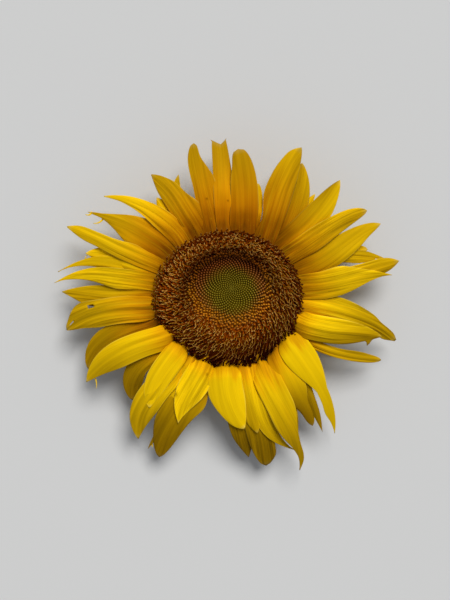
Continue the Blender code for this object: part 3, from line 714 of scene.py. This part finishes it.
def mark_underside(sheet, count):
    """The lower side of a thickened sheet, whose first count points are one side, is marked in its shade."""
    heights = vertex_places(sheet.data)[:, 2]
    shades = np.zeros(len(heights) * 3, np.float32)
    layer = sheet.data.attributes["shade"].data
    layer.foreach_get("vector", shades)
    shades = shades.reshape(-1, 3)
    first_is_lower = heights[:count].mean() < heights[count:].mean()
    lower = slice(0, count) if first_is_lower else slice(count, None)
    shades[lower, 2] = 1
    layer.foreach_set("vector", shades.ravel())


def petal_width_share(t, claw, widest, taper):
    """Width of a petal along it, as a share of its greatest."""
    if t < widest:
        return claw + (1 - claw) * (1 - (1 - t / widest) ** 2)
    past = (t - widest) / (1 - widest)
    return max((1 - past**2) ** taper, TAIL_SHARE * (1 - past**4), TIP_SHARE)


def near_end(petal):
    """How far from the axis a low petal's rounded near end begins."""
    return NEAR_ENDS.get(petal.name, NEAR_END[petal.layer]) * MM


def root_and_chord(petal):
    """Where a petal springs from, and the straight way from there to its tip."""
    root = polar(ROOT_RADIUS, math.radians(petal.root_angle))
    return root, polar(petal.reach * MM, math.radians(petal.tip_angle)) - root


def rounded(along):
    """Width of a rounded end along it: 0 at its crown and 1 from there on."""
    return math.sqrt(1 - (1 - min(max(along, 0), 1)) ** 2)


def petal_creases(chance, width):
    """A few narrow valleys along a petal: where each runs, its drift, depth, width and reach."""
    count = round(width / 4)
    creases = []
    for number in range(count):
        middle = -0.9 + 1.8 * (number + chance.uniform(0.1, 0.9)) / count
        ranges = ((-0.25, 0.25), (0.05, 0.6), (0.05, 0.2), (0.4, 1.0))
        creases.append((middle, *[chance.uniform(*limits) for limits in ranges]))
    return creases


def petal_relief(petal, chance):
    """A petal's height over its midrib in millimetres: domed halves, furrows, a waved rim and creases."""
    phases = [chance.uniform(0, math.tau) for _ in range(6)]
    size = petal.width / 18
    dome = chance.uniform(0.8, 1.5) * size
    ridge = chance.uniform(0.15, 0.3) * size
    wave = chance.uniform(0.3, 0.8)
    twist = chance.uniform(-0.6, 0.6)
    creases = petal_creases(chance, petal.width)
    texture = TEXTURE.get(petal.name, 1.0)

    def relief(t, s):
        rise = petal.fold * 0.45 + dome * (0.6 - s * s) + twist * s * t
        rise += ridge * texture * math.cos(s * 7 + phases[0] + t * 2)
        rise += wave * s * s * math.sin(t * 11 + phases[1 if s > 0 else 2])
        for place, drift, depth, spread, end in creases:
            strength = smooth_step(end + 0.12, end - 0.2, t)
            rise -= depth * texture * strength * math.exp(-(((s - place - drift * t) / spread) ** 2))
        return rise

    return relief


def petal_heights(petal, low, under_disc):
    """The midrib's heights: (place along the petal, millimetres)."""
    level = ROOT_HEIGHT[petal.layer]
    middle = MIDDLE_HEIGHTS.get(petal.name, MIDDLE_HEIGHT[petal.layer])
    start = mix((level + EDGE_RISE, middle - EDGE_DROP), low)
    shoulder = mix((level, middle), mix(SHOULDER, low))
    shoulder_at = under_disc + mix(SHOULDER_AT, low)
    return [(0, level), (under_disc, start), (shoulder_at, shoulder), (MIDDLE, middle), (1, petal.tip_height)]


def petal_shape(petal, chance):
    """The surface of one petal, with the notes that its finish reads: low is 1 for those low on the bloom."""
    root, chord = root_and_chord(petal)
    length = chord.length / MM
    side = Vector((-chord.y, chord.x)).normalized()
    low = smooth_step(0.1, -0.6, math.sin(math.radians(petal.root_angle)))
    under_disc = (mix((DISC_EDGE, near_end(petal)), low) - ROOT_RADIUS) / chord.length
    claw = mix((CLAW_SHARE[min(petal.layer, 1)], CLAW_SHARE[1]), low)
    heights = petal_heights(petal, low, under_disc)
    relief = petal_relief(petal, chance)
    notch_at, notch_depth, end_width = TIP_NOTCHES.get(petal.name, (0, 0, TIP_SHARE))
    turned = 1.5 * PAINTED_HALF_LIGHT.get(petal.name, 0)
    noise_place = PETALS.index(petal) * 7.3

    def midrib(t):
        bow = 6.75 * t * (1 - t) * (petal.root_bow * (1 - t) + petal.tip_bow * t)
        return root + chord * t + side * bow * MM

    def shape(t, s):
        heading = midrib(min(t + 0.01, 1)) - midrib(max(t - 0.01, 0))
        across = Vector((-heading.y, heading.x)).normalized()
        past_disc = t - under_disc
        share = max(petal_width_share(t, claw, petal.widest, petal.taper), end_width * t**12)
        share *= mix((1, mix((NECK, 1), rounded(past_disc * length / ROUNDING))), low)
        reach_out = s * share * petal.width / 2
        for edge, at, spread, size_out in EDGE_MARKS.get(petal.name, []):
            if edge * s > 0:
                reach_out += edge * size_out * s * s * math.exp(-(((t - at) / spread) ** 2))
        from_notch = abs(s - notch_at) / (1 - notch_at if s > notch_at else 1 + notch_at)
        shortened = 1 - notch_depth * t**4 * (1 - from_notch)
        place = midrib(t * shortened) + across * reach_out * MM
        opened = smooth_step(0, mix(OPENED_AT, low), past_disc)
        sagging = NEAR_DROP * low * s * s * (1 - smooth_step(0, 0.15, past_disc))
        height = smooth_through(heights, t) + relief(t, s) * share * opened - sagging
        # Painted light and shade along the petal and across it, with its brown specks
        tone = mix((petal.root_tone, petal.tip_tone), smooth_step(0.1, 0.95, t)) * (1 + turned * s)
        for at, across_at, radius in SPECKS.get(petal.name, []):
            apart = math.hypot((t - at) * length, (s - across_at) * petal.width / 2) / radius
            tone *= 1 - 0.6 * math.exp(-apart * apart)
        blade = (reach_out, t * length, noise_place)
        shade = (past_disc / (1 - under_disc), tone, 0)
        return Vector((*place, height * MM)), blade, (s, t, petal.warm), shade

    return shape


def thread_shape(start_angle, start_reach, end_angle, end_reach, height, bow, width):
    """A thread torn from a petal's edge, narrower towards its free end."""
    start = polar(start_reach, math.radians(start_angle))
    along = polar(end_reach, math.radians(end_angle)) - start
    side = Vector((-along.y, along.x)).normalized()

    def shape(t, s):
        place = start + along * t + side * (4 * bow * t * (1 - t) + s * width * (1 - 0.7 * t) / 2)
        point = Vector((*place, height + 0.4 * math.sin(3 * t))) * MM
        return point, (s * width, t * 4, height), (s, 0.9 + 0.1 * t, 0), (1, 1, 0)

    return shape


def petal_sheet(petal, shape):
    """One petal, with its holes."""
    length = petal.reach - ROOT_RADIUS / MM
    half_width = petal.width / 2
    holes = [(t, s, long / length, wide / half_width) for t, s, long, wide in HOLES.get(petal.name, [])]
    sheet = shaped_sheet(PETAL_COLUMNS, PETAL_STATIONS, shape, PETAL_THICKNESS, holes)
    texture = [TEXTURE.get(petal.name, 1.0)] * len(sheet.data.vertices)
    write_attribute(sheet.data, "texture", "FLOAT", texture)
    return sheet


def petals():
    """The three layers of petals, and the torn threads with the front one."""
    chance = random.Random(5)
    finish = petal_finish()
    for layer, name in enumerate(("petals_front", "petals_middle", "petals_back")):
        sheets = []
        for petal in PETALS:
            shape = petal_shape(petal, chance)
            if petal.layer == layer:
                sheets.append(petal_sheet(petal, shape))
        if layer == 0:
            sheets += [shaped_sheet(3, 12, thread_shape(*thread), THREAD_THICKNESS) for thread in THREADS]
        piece = join(name, sheets, finish)
        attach(piece, "root")
        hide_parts("ray_florets")


def under_near_end(place):
    """Whether a place on the disc lies under the rounded near end of a low petal, but for the back ones."""
    for petal in PETALS:
        root, chord = root_and_chord(petal)
        heading = chord.normalized()
        along = (place - root).dot(heading) + ROOT_RADIUS - near_end(petal)
        off = abs((place - root).cross(heading))
        if math.sin(math.radians(petal.root_angle)) < -0.25 and petal.layer < 2 and along > 0:
            if off < rounded(along / (ROUNDING * MM)) * petal.width / 2 * MM:
                return True
    return False


def floret_place(share, angle):
    """A place on the disc, a share of the way from the growth centre to the edge, which is flat low left."""
    edge = Vector((DISC_HALF_WIDTH * math.cos(angle), DISC_HALF_DEPTH * math.sin(angle)))
    from_flat = (angle - DISC_FLAT_AT + math.pi) % (2 * math.pi) - math.pi
    edge *= 1 - DISC_FLAT_DEPTH * math.exp(-((from_flat / DISC_FLAT_SPREAD) ** 2))
    return GROWTH_CENTRE * (1 - share * share) + (DISC_CENTRE + edge) * share


def bud_limit(angle):
    """How far out the buds reach: less far down the face than across, and farthest up it."""
    return 0.44 + 0.085 * math.sin(angle)


def green_limit(angle):
    """How far out the buds are still green, more down the face than up it."""
    return 0.435 - 0.025 * math.sin(angle) + 0.005 * math.cos(angle)


def tube(sides, radius, steps, foot=0.0):
    """A tube grown from a ring: each step is (forward in millimetres, turn in degrees, new radius)."""
    middle = Vector((0, 0, foot)) * MM
    bpy.ops.object.select_all(action="DESELECT")
    bpy.ops.mesh.primitive_circle_add(vertices=sides, radius=radius * MM, location=middle)
    piece = bpy.context.object
    bpy.ops.object.transform_apply(location=True)
    bpy.ops.object.mode_set(mode="EDIT")
    bpy.ops.mesh.select_all(action="SELECT")
    heading = 0
    for forward, turn, new_radius in steps:
        heading += math.radians(turn)
        move = Vector((math.sin(heading), 0, math.cos(heading))) * forward * MM
        bpy.ops.mesh.extrude_region_move(TRANSFORM_OT_translate={"value": move})
        middle = middle + move
        grow = new_radius / radius
        bpy.ops.transform.resize(value=(grow, grow, grow), center_override=middle)
        bpy.ops.transform.rotate(value=math.radians(-turn), orient_axis="Y", center_override=middle)
        radius = new_radius
    bpy.ops.mesh.edge_face_add()
    bpy.ops.object.mode_set(mode="OBJECT")
    return piece


def template(pieces):
    """The points and faces of a shape that is repeated, taken from pieces that are then removed."""
    piece = join("template", pieces)
    points = vertex_places(piece.data).astype(float)
    faces = [tuple(face.vertices) for face in piece.data.polygons]
    bpy.data.objects.remove(piece, do_unlink=True)
    return points, faces


def repeated(name, pattern, copies, finish):
    """One mesh of a pattern's copies, each with its 4 by 4 place and its note: age, chance and tone, the
    painted light and shade.
    """
    points, faces = pattern
    count = len(points)
    all_points = np.zeros((len(copies), count, 3))
    notes = np.zeros((len(copies), count, 3))
    tones = np.zeros((len(copies), count))
    notes[:, :, 0] = points[:, 2] / points[:, 2].max()
    for number, (place, (age, luck, tone)) in enumerate(copies):
        turn = np.array(place)
        all_points[number] = points @ turn[:3, :3].T + turn[:3, 3]
        all_points[number, :, 2] -= max(all_points[number, :, 2].max() - FACE_CEILING, 0)
        notes[number, :, 1:] = (age, luck)
        tones[number] = tone
    every = [tuple(k + number * count for k in face) for number in range(len(copies)) for face in faces]
    piece = new_piece(name, all_points.reshape(-1, 3).tolist(), every)
    write_attribute(piece.data, "floret", "FLOAT_VECTOR", notes)
    write_attribute(piece.data, "tone", "FLOAT", tones)
    bpy.ops.object.shade_smooth()
    piece.data.materials.append(finish)
    return piece


def standing(tip, direction, spin, length, scale=1.0):
    """A copy's place: its tip at a point, and its foot a length back along its direction."""
    turn = direction.to_track_quat("Z", "Y").to_matrix() @ Matrix.Rotation(spin, 3, "Z")
    place = Matrix.Translation(tip - direction * (length * scale)) @ turn.to_4x4()
    return place @ Matrix.Scale(scale, 4)


def corolla_pattern():
    """A floret's tube, its five lobes turned out."""
    corolla = tube(10, 0.34, [(3.6, 0, 0.42), (0.9, 0, 0.62), (0.45, 0, 0.85)])
    top = sorted(corolla.data.vertices, key=lambda vertex: vertex.co.z)[-10:]
    top.sort(key=lambda vertex: math.atan2(vertex.co.y, vertex.co.x))
    for vertex in top[1::2]:
        vertex.co.xy = vertex.co.xy * 0.62
        vertex.co.z -= 0.35 * MM
    return template([corolla])


def strand_patterns():
    """Anthers with a knob of pollen and curled stigma arms, bent in different ways."""
    patterns = []
    for bends in ((22, -40, 34, 24), (-20, 44, -36, -26), (30, -46, -22, 44)):
        steps = list(zip((1.0, 0.9, 0.8, 0.7), bends, (0.14, 0.23, 0.14, 0.22)))
        anthers = tube(5, 0.2, [*steps, (0.35, 0, 0.29), (0.3, 0, 0.14)], foot=4.2)
        end = max(vertex_places(anthers.data), key=lambda place: place[2]) / MM
        pieces = [anthers]
        for half in (0, 1):
            arm = tube(4, 0.12, [(0.5, 12, 0.13), (0.4, 30, 0.13), (0.35, 60, 0.08)])
            arm.data.transform(Matrix.Translation(Vector(end) * MM) @ Matrix.Rotation(math.pi * half, 4, "Z"))
            pieces.append(arm)
        patterns.append(template(pieces))
    return patterns


def bud_pattern():
    """A closed bud with a blunt tip."""
    return template([tube(6, 0.5, [(1.3, 0, 0.7), (0.6, 0, 0.58), (0.4, 0, 0.36), (0.25, 0, 0.14)])])


def closed_bud(chance, place, height, share, angle):
    """The place of a closed bud, which stands square to the disc's bowl."""
    inner, outer = (smooth_through(DISC_PROFILE, share + step) for step in (-SLOPE_STEP, SLOPE_STEP))
    slope = (outer - inner) / (2 * SLOPE_STEP * DISC_HALF_DEPTH / MM)
    direction = Vector((*(polar(1, angle) * -0.5 * slope), 1)).normalized()
    size = mix(BUD_SIZE, share)
    tip = Vector((*place, height + chance.uniform(0.1, 0.5) * MM))
    return standing(tip, direction, chance.uniform(0, 6.3), BUD_LENGTH, size)


def disc():
    """Buds, florets and anthers in their places on the spiral, in one piece of each kind."""
    chance = random.Random(11)
    copies = {kind: [] for kind in ("open_florets", "anthers_1", "anthers_2", "anthers_3", "closed_buds")}

    def add(kind, placed, age, tone):
        copies[kind].append((placed, (age, chance.random(), tone)))

    for index in range(FLORET_COUNT):
        share = ((index + 0.5) / FLORET_COUNT) ** SPREAD_POWER
        azimuth = index * GOLDEN_ANGLE
        place = floret_place(share, azimuth)
        if share > UNDER_PETALS and under_near_end(place):
            continue
        up = math.sin(azimuth)
        low = smooth_step(0.1, -0.5, up)
        drop = RIM_DROP * low * smooth_step(0.85, 1, share)
        height = (smooth_through(DISC_PROFILE, share) - drop) * MM
        outward = (place - GROWTH_CENTRE * (1 - share)).normalized()
        angle = math.atan2(outward.y, outward.x) + FLORET_SWIRL * smooth_step(0.5, 0.7, share)
        ripe = share - bud_limit(azimuth)
        tone = painted_floret_light(share, azimuth)
        if ripe < 0:
            placed = closed_bud(chance, place, height, share, angle)
            add("closed_buds", placed, share / green_limit(azimuth), tone)
            continue
        lean = math.radians(smooth_through(FLORET_LEAN, share) + chance.gauss(0, LEAN_SPREAD))
        angle += chance.gauss(0, TURN_SPREAD)
        sideways = polar(1, angle) * math.sin(lean) + FLORET_DRIFT * smooth_step(0.55, 0.8, share)
        direction = Vector((*sideways, math.cos(lean))).normalized()
        size = chance.uniform(*FLORET_SIZE)
        tip = Vector((*place, height + chance.uniform(*FLORET_RISE) * MM))
        spin = chance.uniform(0, math.tau)
        if ripe < mix(OPENING, smooth_step(0.4, -0.8, up)) * chance.uniform(0.75, 1.25):
            size *= 0.95 + 1.5 * ripe
            tip += Vector((chance.gauss(0, 0.25), chance.gauss(0, 0.25), 0.3)) * MM
            add("open_florets", standing(tip, direction, spin, COROLLA_LENGTH, size), ripe, tone)
            continue
        placed = standing(tip, direction, spin, FLORET_LENGTH, size)
        # Painted shade on the lower side of the outer ring
        dim = tone * (1 - 0.35 * smooth_step(0.7, 0.82, share) * smooth_step(0, -0.7, up))
        add("open_florets", placed, 1, dim)
        # A darker corolla under each outermost floret: painted shade
        if share > 0.9:
            add("open_florets", standing(tip, direction, spin, COROLLA_LENGTH, size), 1, dim * 0.7)
        bare = low * smooth_step(0.87, 0.95, share)
        if chance.random() < STRAND_SHARE * (1 - bare):
            kind = f"anthers_{1 + chance.randrange(3)}"
            # Anthers: painted light and shade, darker towards the rim
            add(kind, placed, ripe, tone**0.75 * (1 - 0.3 * smooth_step(0.88, 1, share)))
    # Florets low round the rim, darkened with painted shade between the petals' bases
    for _ in range(RIM_COUNT):
        azimuth = chance.uniform(*RIM_ARC)
        place = floret_place(chance.uniform(*RIM_REACH), azimuth)
        tip = Vector((*place, chance.uniform(*RIM_HEIGHT) * MM))
        if under_near_end(tip.xy):
            continue
        direction = Vector((*polar(0.8, azimuth + chance.gauss(0, 0.4)), 1)).normalized()
        placed = standing(tip, direction, chance.uniform(0, math.tau), COROLLA_LENGTH)
        add("open_florets", placed, 1, RIM_PAINTED_SHADE)
    strands = strand_finish()
    patterns = [corolla_pattern(), *strand_patterns(), bud_pattern()]
    finishes = [floret_finish(), strands, strands, strands, bud_finish()]
    for kind, pattern, finish in zip(copies, patterns, finishes):
        piece = repeated(kind, pattern, copies[kind], finish)
        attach(piece, "root")
        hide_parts("disc_buds" if kind == "closed_buds" else "disc_florets")
        "green_brown_buds" if kind == "closed_buds" else "brown_florets"


def disc_bed():
    """The dark ground that the florets stand on, seen only between them."""
    azimuths = [k * math.tau / BED_SIDES for k in range(BED_SIDES)]
    points = [(*GROWTH_CENTRE, (smooth_through(DISC_PROFILE, 0) - 2.0) * MM)]
    tones = [1.0]
    greens = [1.0]
    for share in BED_RINGS:
        depth = mix(BED_DEPTH, smooth_step(0.38, 0.6, share))
        for azimuth in azimuths:
            spread = mix((0.93, 1), smooth_step(0, -0.4, math.sin(azimuth))) if share > 1 else 1
            place = floret_place(share * spread * 0.96, azimuth)
            points.append((*place, (smooth_through(DISC_PROFILE, share) - depth) * MM))
            # Painted light and shade on the bed: as on the florets inside the ring, dimmer under the open
            # florets and dimmer still under the rim
            under_open = mix((0.9, 0.5), share > 0.9)
            tones.append(painted_floret_light(share, azimuth) ** 1.4 if share < 0.6 else under_open)
            greens.append(smooth_step(1.15, 0.75, share / green_limit(azimuth)))
    for azimuth in azimuths:
        points.append((*floret_place(0.9, azimuth), BED_BASE))
    points.append((0, 0, BED_BASE))
    # Painted shade low under the disc
    tones += [0.4] * (BED_SIDES + 1)
    greens += [0.0] * (BED_SIDES + 1)
    sides = [(k, (k + 1) % BED_SIDES) for k in range(BED_SIDES)]
    faces = [(0, 1 + k, 1 + after) for k, after in sides]
    for ring in range(len(BED_RINGS)):
        inner = 1 + ring * BED_SIDES
        outer = inner + BED_SIDES
        faces += [(inner + k, outer + k, outer + after, inner + after) for k, after in sides]
    faces += [(outer + after, outer + k, len(points) - 1) for k, after in sides]
    piece = new_piece("disc_bed", points, faces)
    write_attribute(piece.data, "tone", "FLOAT", tones)
    write_attribute(piece.data, "green", "FLOAT", greens)
    bpy.ops.object.shade_smooth()
    piece.data.materials.append(bed_finish())
    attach(piece, "root")
    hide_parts("disc_florets")


def bract_shape(index):
    """The surface of one bract, from the lowest and widest-set to those close under the petals."""
    level = index / (BRACT_COUNT - 1)
    azimuth = index * GOLDEN_ANGLE
    root = [mix(pair, level) for pair in zip(*BRACT_ROOT)]
    tip = [mix(pair, level) for pair in zip(*BRACT_TIP)]
    arch = mix(BRACT_ARCH, level)
    width = mix(BRACT_WIDTH, level)
    outward = Vector((*polar(1, azimuth), 0))
    sideways = Vector((*polar(1, azimuth + math.pi / 2), 0))
    phase = index * 2.4
    length = math.dist(root, tip)

    def shape(t, s):
        radius = mix((root[0], tip[0]), t)
        height = mix((root[1], tip[1]), t) + 4 * arch * t * (1 - t)
        half = width / 2 * max((1 - t) ** 0.8 * (0.75 + 1.1 * t), TIP_SHARE)
        height += BRACT_KEEL * abs(s) * (1 - t) + 0.35 * s * s * math.sin(t * 9 + phase)
        point = (outward * radius + sideways * s * half + Vector((0, 0, height))) * MM
        return point, (s * half, t * length, index * 5.1), (s, t, 0), (0, 0, 0)

    return shape


def head_back():
    """The green back of the head, spun from its profile, with shallow ribs down to the neck."""
    line = [(0.0, 0.0), (5.5, 0.0), (8.6, 0.0)]
    for (r0, z0), (r1, z1) in zip(BACK_PROFILE, BACK_PROFILE[1:]):
        line += [(mix((r0, r1), k / 4), mix((z0, z1), k / 4)) for k in range(4)]
    rim = BACK_PROFILE[-1]
    line += [rim, (BOSS_RADIUS, rim[1]), (BOSS_RADIUS, BED_HEIGHT), (0.0, BED_HEIGHT)]
    points = [(radius * MM, 0, height * MM) for radius, height in line]
    body = new_piece("head_back", points, [], [(k, k + 1) for k in range(len(line) - 1)])
    bpy.ops.object.mode_set(mode="EDIT")
    bpy.ops.mesh.select_all(action="SELECT")
    bpy.ops.mesh.spin(steps=BACK_SIDES, angle=math.tau, center=(0, 0, 0), axis=(0, 0, 1))
    bpy.ops.mesh.select_all(action="SELECT")
    bpy.ops.mesh.remove_doubles(threshold=0.01 * MM)
    bpy.ops.mesh.normals_make_consistent(inside=False)
    bpy.ops.object.mode_set(mode="OBJECT")
    mesh = body.data
    places = vertex_places(mesh).astype(float)
    blades, notes = [], []
    for number, (x, y, z) in enumerate(places):
        radius = math.hypot(x, y)
        azimuth = math.atan2(y, x)
        if radius > 8 * MM and 0.5 * MM < z < 27.5 * MM:
            ribs = 0.012 * math.cos(azimuth * 17 + z * 90) + 0.008 * math.cos(azimuth * 29)
            places[number, :2] *= 1 + ribs * (1 - radius / (60 * MM))
        blades.append((azimuth * 12, z / MM, 3))
        notes.append((0.5, 0.3, 1.0 if z < 0.2 * MM else 0.0))
    mesh.vertices.foreach_set("co", places.astype(np.float32).ravel())
    write_attribute(mesh, "blade", "FLOAT_VECTOR", blades)
    write_attribute(mesh, "place", "FLOAT_VECTOR", notes)
    bpy.ops.object.shade_smooth_by_angle(angle=math.radians(50))
    return body


def hairs():
    """Short pale hairs, thickest along the bracts' edges, on the underside of the head and its neck."""
    chance = random.Random(8)
    places = []
    for index in range(BRACT_COUNT):
        shape = bract_shape(index)
        for _ in range(HAIRS_PER_BRACT):
            t = chance.uniform(0.08, 0.96)
            side = chance.choice((-1, 1))
            edge = shape(t, side)[0]
            along = shape(t + 0.04, side)[0] - edge
            outward = edge - shape(t, side * 0.6)[0]
            places.append((edge, outward.normalized() + along.normalized() * 0.7))
    spans = list(zip(BACK_PROFILE, BACK_PROFILE[1:]))[:6]
    for _ in range(BACK_HAIRS):
        (r0, z0), (r1, z1) = chance.choice(spans)
        share = chance.uniform(0.15, 0.9)
        outward = polar(1, chance.uniform(0, math.tau))
        place = Vector((*(outward * mix((r0, r1), share)), mix((z0, z1), share))) * MM
        places.append((place, Vector((*(outward * (z1 - z0)), r0 - r1)).normalized()))
    copies = []
    for place, direction in places:
        direction = direction + Vector([chance.gauss(0, 0.25) for _ in range(3)])
        direction.normalize()
        size = chance.uniform(0.6, 1.1)
        tip = place + direction * size * HAIR_LENGTH
        if tip.z > 0.2 * MM:
            copies.append((standing(tip, direction, 0, HAIR_LENGTH, size), (0, chance.random(), 1)))
    hair = template([tube(3, 0.05, [(0.6, 8, 0.04), (0.6, 12, 0.015)])])
    return repeated("hairs", hair, copies, plain_finish("hair", HAIR_COLOUR, 0.6))


def receptacle():
    """The green back of the head with its bracts, in one piece, and the hairs on it."""
    pieces = [head_back()]
    for index in range(BRACT_COUNT):
        pieces.append(shaped_sheet(10, 18, bract_shape(index), BRACT_THICKNESS))
    for piece in (join("green_receptacle", pieces, green_finish()), hairs()):
        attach(piece, "root")
        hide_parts("receptacle_with_bracts")


def studio():
    """A pale floor, a soft key light above the bloom's upper edge, and a dim room."""
    bpy.ops.object.select_all(action="DESELECT")
    bpy.ops.mesh.primitive_plane_add(size=8)
    floor = bpy.context.object
    floor.name = "floor"
    floor.data.materials.append(plain_finish("floor", FLOOR_COLOUR, 0.8))
    bpy.ops.object.light_add(type="SUN", location=(0, 0, 1))
    key = bpy.context.object
    key.data.energy = KEY_STRENGTH
    key.data.angle = KEY_WIDTH
    towards = Vector((*polar(math.cos(KEY_ELEVATION), KEY_AZIMUTH), math.sin(KEY_ELEVATION)))
    key.rotation_euler = towards.to_track_quat("Z", "Y").to_euler()
    world = bpy.data.worlds.new("room")
    world.use_nodes = True
    background = world.node_tree.nodes["Background"]
    background.inputs["Color"].default_value = ROOM_COLOUR
    background.inputs["Strength"].default_value = ROOM_STRENGTH
    bpy.context.scene.world = world
    bpy.context.scene.view_settings.view_transform = "Standard"


def camera():
    """The view of the picture."""
    back = Vector((0, math.sin(VIEW_TILT), math.cos(VIEW_TILT)))
    up = Vector((0, math.cos(VIEW_TILT), -math.sin(VIEW_TILT)))
    across = up.cross(back)
    data = bpy.data.cameras.new("camera")
    data.lens = VIEW_LENS
    data.sensor_width = VIEW_SENSOR
    made = bpy.data.objects.new("camera", data)
    bpy.context.scene.collection.objects.link(made)
    turn = Matrix((across, up, back)).transposed().to_4x4()
    made.matrix_world = Matrix.Translation(VIEW_AIM + back * VIEW_DISTANCE) @ turn
    bpy.context.scene.camera = made


camera()
studio()
petals()
disc()
disc_bed()
receptacle()
